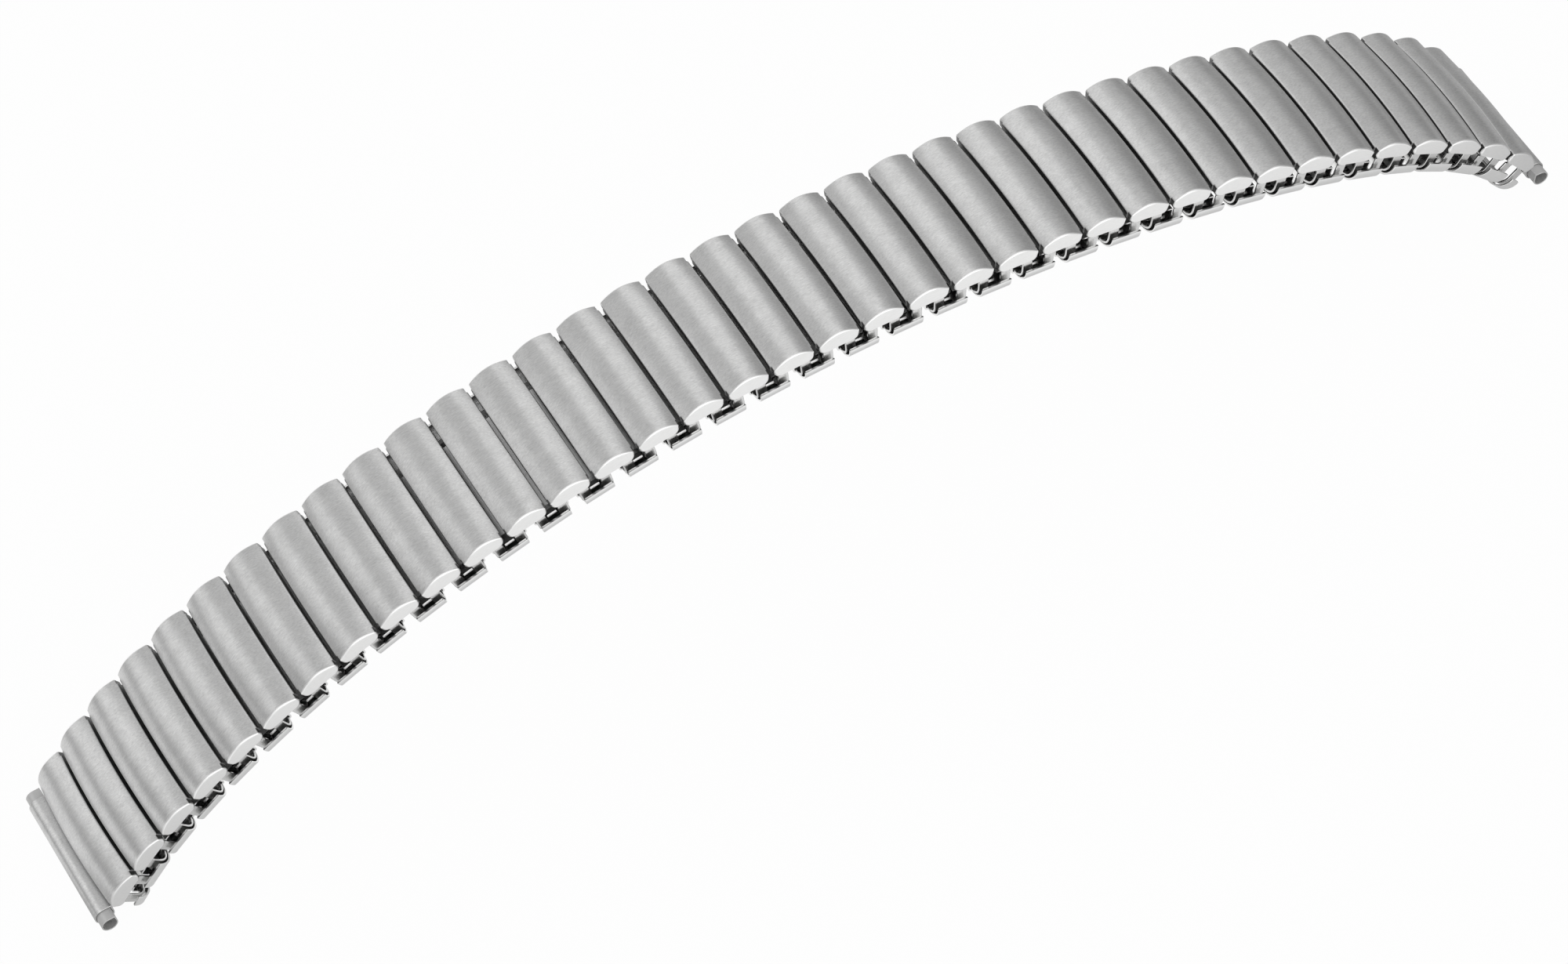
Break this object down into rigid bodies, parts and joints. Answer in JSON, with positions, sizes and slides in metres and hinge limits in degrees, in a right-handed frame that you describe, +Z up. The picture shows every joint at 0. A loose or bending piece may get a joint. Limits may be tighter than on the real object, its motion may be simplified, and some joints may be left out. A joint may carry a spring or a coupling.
{
  "type": "expansion watch band",
  "caption": "Stretching steel watch band of crowned links with capped ends, carried on lower links and side bows, with rolled telescopic end pieces.",
  "frame": {"origin": "bottom centre of the bounding box, on the surface that both rolled ends stand on", "axes": "+Z up, +X along the band, +Y across it towards the far side of the picture"},
  "size_m": [0.154, 0.0162, 0.0312],
  "materials": {
    "link_steel": "lengthwise brushed",
    "lower_steel": "satin",
    "end_steel": "lengthwise brushed",
    "insert_steel": "satin"
  },
  "bodies": {
    "top_link_01": {"top_link_01": "link_steel", "end_sleeve_left": "end_steel"},
    "top_link_02": {"top_link_02": "link_steel"},
    "top_link_03": {"top_link_03": "link_steel"},
    "top_link_04": {"top_link_04": "link_steel"},
    "top_link_05": {"top_link_05": "link_steel"},
    "top_link_06": {"top_link_06": "link_steel"},
    "top_link_07": {"top_link_07": "link_steel"},
    "top_link_08": {"top_link_08": "link_steel"},
    "top_link_09": {"top_link_09": "link_steel"},
    "top_link_10": {"top_link_10": "link_steel"},
    "top_link_11": {"top_link_11": "link_steel"},
    "top_link_12": {"top_link_12": "link_steel"},
    "top_link_13": {"top_link_13": "link_steel"},
    "top_link_14": {"top_link_14": "link_steel"},
    "top_link_15": {"top_link_15": "link_steel"},
    "top_link_16": {"top_link_16": "link_steel"},
    "top_link_17": {"top_link_17": "link_steel"},
    "top_link_18": {"top_link_18": "link_steel"},
    "top_link_19": {"top_link_19": "link_steel"},
    "top_link_20": {"top_link_20": "link_steel"},
    "top_link_21": {"top_link_21": "link_steel"},
    "top_link_22": {"top_link_22": "link_steel"},
    "top_link_23": {"top_link_23": "link_steel"},
    "top_link_24": {"top_link_24": "link_steel"},
    "top_link_25": {"top_link_25": "link_steel"},
    "top_link_26": {"top_link_26": "link_steel"},
    "top_link_27": {"top_link_27": "link_steel"},
    "top_link_28": {"top_link_28": "link_steel"},
    "top_link_29": {"top_link_29": "link_steel"},
    "top_link_30": {"top_link_30": "link_steel"},
    "top_link_31": {"top_link_31": "link_steel"},
    "top_link_32": {"top_link_32": "link_steel"},
    "top_link_33": {"top_link_33": "link_steel"},
    "top_link_34": {"top_link_34": "link_steel"},
    "top_link_35": {"top_link_35": "link_steel"},
    "top_link_36": {"top_link_36": "link_steel", "end_sleeve_right": "end_steel"},
    "lower_link_01": {"lower_link_01": "lower_steel"},
    "lower_link_03": {"lower_link_03": "lower_steel"},
    "lower_link_05": {"lower_link_05": "lower_steel"},
    "lower_link_07": {"lower_link_07": "lower_steel"},
    "lower_link_09": {"lower_link_09": "lower_steel"},
    "lower_link_11": {"lower_link_11": "lower_steel"},
    "lower_link_13": {"lower_link_13": "lower_steel"},
    "lower_link_15": {"lower_link_15": "lower_steel"},
    "lower_link_17": {"lower_link_17": "lower_steel"},
    "lower_link_19": {"lower_link_19": "lower_steel"},
    "lower_link_21": {"lower_link_21": "lower_steel"},
    "lower_link_23": {"lower_link_23": "lower_steel"},
    "lower_link_25": {"lower_link_25": "lower_steel"},
    "lower_link_27": {"lower_link_27": "lower_steel"},
    "lower_link_29": {"lower_link_29": "lower_steel"},
    "lower_link_31": {"lower_link_31": "lower_steel"},
    "lower_link_33": {"lower_link_33": "lower_steel"},
    "lower_link_35": {"lower_link_35": "lower_steel"},
    "end_insert_right_near": {"end_insert_right_near": "insert_steel"},
    "end_insert_right_far": {"end_insert_right_far": "insert_steel"},
    "end_insert_left_near": {"end_insert_left_near": "insert_steel"},
    "end_insert_left_far": {"end_insert_left_far": "insert_steel"}
  },
  "joints": [
    {"name": "stretch_18", "type": "slide", "parent": "top_link_18", "child": "top_link_19", "axis": [1, 0, -0.0011], "range_m": [0, 0.0007], "stiffness_N_per_m": 400, "springref_m": -0.0008},
    {"name": "stretch_19", "type": "slide", "parent": "top_link_19", "child": "lower_link_19", "axis": [0.9995, 0, -0.0308], "range_m": [0, 0.0007], "stiffness_N_per_m": 400, "springref_m": -0.0008},
    {"name": "flex_19", "type": "hinge", "parent": "lower_link_19", "child": "top_link_20", "pos_m": [0.0063, 0, 0.02901], "axis": [0, 1, 0], "range_deg": [-5.4, 11]},
    {"name": "stretch_20", "type": "slide", "parent": "top_link_20", "child": "top_link_21", "axis": [0.9982, 0, -0.0604], "range_m": [0, 0.0007], "stiffness_N_per_m": 400, "springref_m": -0.0008},
    {"name": "stretch_21", "type": "slide", "parent": "top_link_21", "child": "lower_link_21", "axis": [0.9959, 0, -0.09], "range_m": [0, 0.0007], "stiffness_N_per_m": 400, "springref_m": -0.0008},
    {"name": "flex_21", "type": "hinge", "parent": "lower_link_21", "child": "top_link_22", "pos_m": [0.01542, 0, 0.02823], "axis": [0, 1, 0], "range_deg": [-5.4, 11]},
    {"name": "stretch_22", "type": "slide", "parent": "top_link_22", "child": "top_link_23", "axis": [0.9928, 0, -0.1195], "range_m": [0, 0.0007], "stiffness_N_per_m": 400, "springref_m": -0.0008},
    {"name": "stretch_23", "type": "slide", "parent": "top_link_23", "child": "lower_link_23", "axis": [0.9889, 0, -0.1489], "range_m": [0, 0.0007], "stiffness_N_per_m": 400, "springref_m": -0.0008},
    {"name": "flex_23", "type": "hinge", "parent": "lower_link_23", "child": "top_link_24", "pos_m": [0.02449, 0, 0.0269], "axis": [0, 1, 0], "range_deg": [-5.4, 11]},
    {"name": "stretch_24", "type": "slide", "parent": "top_link_24", "child": "top_link_25", "axis": [0.984, 0, -0.1783], "range_m": [0, 0.0007], "stiffness_N_per_m": 400, "springref_m": -0.0008},
    {"name": "stretch_25", "type": "slide", "parent": "top_link_25", "child": "lower_link_25", "axis": [0.9782, 0, -0.2077], "range_m": [0, 0.0007], "stiffness_N_per_m": 400, "springref_m": -0.0008},
    {"name": "flex_25", "type": "hinge", "parent": "lower_link_25", "child": "top_link_26", "pos_m": [0.03345, 0, 0.02504], "axis": [0, 1, 0], "range_deg": [-5.5, 11]},
    {"name": "stretch_26", "type": "slide", "parent": "top_link_26", "child": "top_link_27", "axis": [0.9714, 0, -0.2373], "range_m": [0, 0.0007], "stiffness_N_per_m": 400, "springref_m": -0.0008},
    {"name": "stretch_27", "type": "slide", "parent": "top_link_27", "child": "lower_link_27", "axis": [0.9635, 0, -0.2676], "range_m": [0, 0.0007], "stiffness_N_per_m": 400, "springref_m": -0.0008},
    {"name": "flex_27", "type": "hinge", "parent": "lower_link_27", "child": "top_link_28", "pos_m": [0.04228, 0, 0.02264], "axis": [0, 1, 0], "range_deg": [-5.9, 11]},
    {"name": "stretch_28", "type": "slide", "parent": "top_link_28", "child": "top_link_29", "axis": [0.9542, 0, -0.2992], "range_m": [0, 0.0007], "stiffness_N_per_m": 400, "springref_m": -0.0008},
    {"name": "stretch_29", "type": "slide", "parent": "top_link_29", "child": "lower_link_29", "axis": [0.9429, 0, -0.3331], "range_m": [0, 0.0007], "stiffness_N_per_m": 400, "springref_m": -0.0008},
    {"name": "flex_29", "type": "hinge", "parent": "lower_link_29", "child": "top_link_30", "pos_m": [0.05092, 0, 0.01963], "axis": [0, 1, 0], "range_deg": [-7.1, 11]},
    {"name": "stretch_30", "type": "slide", "parent": "top_link_30", "child": "top_link_31", "axis": [0.9286, 0, -0.3711], "range_m": [0, 0.0007], "stiffness_N_per_m": 400, "springref_m": -0.0008},
    {"name": "stretch_31", "type": "slide", "parent": "top_link_31", "child": "lower_link_31", "axis": [0.9097, 0, -0.4152], "range_m": [0, 0.0007], "stiffness_N_per_m": 400, "springref_m": -0.0008},
    {"name": "flex_31", "type": "hinge", "parent": "lower_link_31", "child": "top_link_32", "pos_m": [0.05923, 0, 0.01589], "axis": [0, 1, 0], "range_deg": [-9.8, 10.8]},
    {"name": "stretch_32", "type": "slide", "parent": "top_link_32", "child": "top_link_33", "axis": [0.8835, 0, -0.4685], "range_m": [0, 0.0007], "stiffness_N_per_m": 400, "springref_m": -0.0008},
    {"name": "stretch_33", "type": "slide", "parent": "top_link_33", "child": "lower_link_33", "axis": [0.8454, 0, -0.5341], "range_m": [0, 0.0007], "stiffness_N_per_m": 400, "springref_m": -0.0008},
    {"name": "flex_33", "type": "hinge", "parent": "lower_link_33", "child": "top_link_34", "pos_m": [0.06693, 0, 0.01111], "axis": [0, 1, 0], "range_deg": [-15, 7.4]},
    {"name": "stretch_34", "type": "slide", "parent": "top_link_34", "child": "top_link_35", "axis": [0.788, 0, -0.6156], "range_m": [0, 0.0007], "stiffness_N_per_m": 400, "springref_m": -0.0008},
    {"name": "stretch_35", "type": "slide", "parent": "top_link_35", "child": "lower_link_35", "axis": [0.6996, 0, -0.7145], "range_m": [0, 0.0007], "stiffness_N_per_m": 400, "springref_m": -0.0008},
    {"name": "flex_35", "type": "hinge", "parent": "lower_link_35", "child": "top_link_36", "pos_m": [0.07327, 0, 0.00481], "axis": [0, 1, 0], "range_deg": [-12.2, 8]},
    {"name": "stretch_17", "type": "slide", "parent": "top_link_18", "child": "lower_link_17", "axis": [-1, 0, 0.0011], "range_m": [0, 0.0007], "stiffness_N_per_m": 400, "springref_m": -0.0008},
    {"name": "flex_17", "type": "hinge", "parent": "lower_link_17", "child": "top_link_17", "pos_m": [-0.00601, 0, 0.02919], "axis": [0, -1, 0], "range_deg": [-6.2, 11]},
    {"name": "stretch_16", "type": "slide", "parent": "top_link_17", "child": "top_link_16", "axis": [-0.9994, 0, -0.0356], "range_m": [0, 0.0007], "stiffness_N_per_m": 400, "springref_m": -0.0008},
    {"name": "stretch_15", "type": "slide", "parent": "top_link_16", "child": "lower_link_15", "axis": [-0.9974, 0, -0.0722], "range_m": [0, 0.0007], "stiffness_N_per_m": 400, "springref_m": -0.0008},
    {"name": "flex_15", "type": "hinge", "parent": "lower_link_15", "child": "top_link_15", "pos_m": [-0.01513, 0, 0.02859], "axis": [0, -1, 0], "range_deg": [-6.2, 11]},
    {"name": "stretch_14", "type": "slide", "parent": "top_link_15", "child": "top_link_14", "axis": [-0.9941, 0, -0.1087], "range_m": [0, 0.0007], "stiffness_N_per_m": 400, "springref_m": -0.0008},
    {"name": "stretch_13", "type": "slide", "parent": "top_link_14", "child": "lower_link_13", "axis": [-0.9894, 0, -0.145], "range_m": [0, 0.0007], "stiffness_N_per_m": 400, "springref_m": -0.0008},
    {"name": "flex_13", "type": "hinge", "parent": "lower_link_13", "child": "top_link_13", "pos_m": [-0.02419, 0, 0.02731], "axis": [0, -1, 0], "range_deg": [-6.2, 11]},
    {"name": "stretch_12", "type": "slide", "parent": "top_link_13", "child": "top_link_12", "axis": [-0.9834, 0, -0.1812], "range_m": [0, 0.0007], "stiffness_N_per_m": 400, "springref_m": -0.0008},
    {"name": "stretch_11", "type": "slide", "parent": "top_link_12", "child": "lower_link_11", "axis": [-0.9761, 0, -0.2173], "range_m": [0, 0.0007], "stiffness_N_per_m": 400, "springref_m": -0.0008},
    {"name": "flex_11", "type": "hinge", "parent": "lower_link_11", "child": "top_link_11", "pos_m": [-0.03313, 0, 0.02537], "axis": [0, -1, 0], "range_deg": [-6.3, 11]},
    {"name": "stretch_10", "type": "slide", "parent": "top_link_11", "child": "top_link_10", "axis": [-0.9674, 0, -0.2533], "range_m": [0, 0.0007], "stiffness_N_per_m": 400, "springref_m": -0.0008},
    {"name": "stretch_09", "type": "slide", "parent": "top_link_10", "child": "lower_link_09", "axis": [-0.9572, 0, -0.2895], "range_m": [0, 0.0007], "stiffness_N_per_m": 400, "springref_m": -0.0008},
    {"name": "flex_09", "type": "hinge", "parent": "lower_link_09", "child": "top_link_09", "pos_m": [-0.04189, 0, 0.02278], "axis": [0, -1, 0], "range_deg": [-6.5, 11]},
    {"name": "stretch_08", "type": "slide", "parent": "top_link_09", "child": "top_link_08", "axis": [-0.9453, 0, -0.3262], "range_m": [0, 0.0007], "stiffness_N_per_m": 400, "springref_m": -0.0008},
    {"name": "stretch_07", "type": "slide", "parent": "top_link_08", "child": "lower_link_07", "axis": [-0.9314, 0, -0.3639], "range_m": [0, 0.0007], "stiffness_N_per_m": 400, "springref_m": -0.0008},
    {"name": "flex_07", "type": "hinge", "parent": "lower_link_07", "child": "top_link_07", "pos_m": [-0.05042, 0, 0.0195], "axis": [0, -1, 0], "range_deg": [-7.2, 11]},
    {"name": "stretch_06", "type": "slide", "parent": "top_link_07", "child": "top_link_06", "axis": [-0.915, 0, -0.4035], "range_m": [0, 0.0007], "stiffness_N_per_m": 400, "springref_m": -0.0008},
    {"name": "stretch_05", "type": "slide", "parent": "top_link_06", "child": "lower_link_05", "axis": [-0.8949, 0, -0.4463], "range_m": [0, 0.0007], "stiffness_N_per_m": 400, "springref_m": -0.0008},
    {"name": "flex_05", "type": "hinge", "parent": "lower_link_05", "child": "top_link_05", "pos_m": [-0.05861, 0, 0.01548], "axis": [0, -1, 0], "range_deg": [-8.7, 11]},
    {"name": "stretch_04", "type": "slide", "parent": "top_link_05", "child": "top_link_04", "axis": [-0.8696, 0, -0.4937], "range_m": [0, 0.0007], "stiffness_N_per_m": 400, "springref_m": -0.0008},
    {"name": "stretch_03", "type": "slide", "parent": "top_link_04", "child": "lower_link_03", "axis": [-0.8366, 0, -0.5478], "range_m": [0, 0.0007], "stiffness_N_per_m": 400, "springref_m": -0.0008},
    {"name": "flex_03", "type": "hinge", "parent": "lower_link_03", "child": "top_link_03", "pos_m": [-0.06626, 0, 0.01056], "axis": [0, -1, 0], "range_deg": [-11.9, 9.5]},
    {"name": "stretch_02", "type": "slide", "parent": "top_link_03", "child": "top_link_02", "axis": [-0.792, 0, -0.6105], "range_m": [0, 0.0007], "stiffness_N_per_m": 400, "springref_m": -0.0008},
    {"name": "stretch_01", "type": "slide", "parent": "top_link_02", "child": "lower_link_01", "axis": [-0.7298, 0, -0.6837], "range_m": [0, 0.0007], "stiffness_N_per_m": 400, "springref_m": -0.0008},
    {"name": "flex_01", "type": "hinge", "parent": "lower_link_01", "child": "top_link_01", "pos_m": [-0.07291, 0, 0.00446], "axis": [0, -1, 0], "range_deg": [-9, 8]},
    {"name": "telescope_right_near", "type": "slide", "parent": "top_link_36", "child": "end_insert_right_near", "axis": [0, 1, 0], "range_m": [0, 0.0005]},
    {"name": "telescope_right_far", "type": "slide", "parent": "top_link_36", "child": "end_insert_right_far", "axis": [0, -1, 0], "range_m": [0, 0.0005]},
    {"name": "telescope_left_near", "type": "slide", "parent": "top_link_01", "child": "end_insert_left_near", "axis": [0, 1, 0], "range_m": [0, 0.0005]},
    {"name": "telescope_left_far", "type": "slide", "parent": "top_link_01", "child": "end_insert_left_far", "axis": [0, -1, 0], "range_m": [0, 0.0005]}
  ],
  "couplings": [
    {"joint": "stretch_19", "follows": "stretch_18", "ratio": 1},
    {"joint": "stretch_20", "follows": "stretch_18", "ratio": 1},
    {"joint": "stretch_21", "follows": "stretch_18", "ratio": 1},
    {"joint": "stretch_22", "follows": "stretch_18", "ratio": 1},
    {"joint": "stretch_23", "follows": "stretch_18", "ratio": 1},
    {"joint": "stretch_24", "follows": "stretch_18", "ratio": 1},
    {"joint": "stretch_25", "follows": "stretch_18", "ratio": 1},
    {"joint": "stretch_26", "follows": "stretch_18", "ratio": 1},
    {"joint": "stretch_27", "follows": "stretch_18", "ratio": 1},
    {"joint": "stretch_28", "follows": "stretch_18", "ratio": 1},
    {"joint": "stretch_29", "follows": "stretch_18", "ratio": 1},
    {"joint": "stretch_30", "follows": "stretch_18", "ratio": 1},
    {"joint": "stretch_31", "follows": "stretch_18", "ratio": 1},
    {"joint": "stretch_32", "follows": "stretch_18", "ratio": 1},
    {"joint": "stretch_33", "follows": "stretch_18", "ratio": 1},
    {"joint": "stretch_34", "follows": "stretch_18", "ratio": 1},
    {"joint": "stretch_35", "follows": "stretch_18", "ratio": 1},
    {"joint": "stretch_17", "follows": "stretch_18", "ratio": 1},
    {"joint": "stretch_16", "follows": "stretch_18", "ratio": 1},
    {"joint": "stretch_15", "follows": "stretch_18", "ratio": 1},
    {"joint": "stretch_14", "follows": "stretch_18", "ratio": 1},
    {"joint": "stretch_13", "follows": "stretch_18", "ratio": 1},
    {"joint": "stretch_12", "follows": "stretch_18", "ratio": 1},
    {"joint": "stretch_11", "follows": "stretch_18", "ratio": 1},
    {"joint": "stretch_10", "follows": "stretch_18", "ratio": 1},
    {"joint": "stretch_09", "follows": "stretch_18", "ratio": 1},
    {"joint": "stretch_08", "follows": "stretch_18", "ratio": 1},
    {"joint": "stretch_07", "follows": "stretch_18", "ratio": 1},
    {"joint": "stretch_06", "follows": "stretch_18", "ratio": 1},
    {"joint": "stretch_05", "follows": "stretch_18", "ratio": 1},
    {"joint": "stretch_04", "follows": "stretch_18", "ratio": 1},
    {"joint": "stretch_03", "follows": "stretch_18", "ratio": 1},
    {"joint": "stretch_02", "follows": "stretch_18", "ratio": 1},
    {"joint": "stretch_01", "follows": "stretch_18", "ratio": 1}
  ]
}
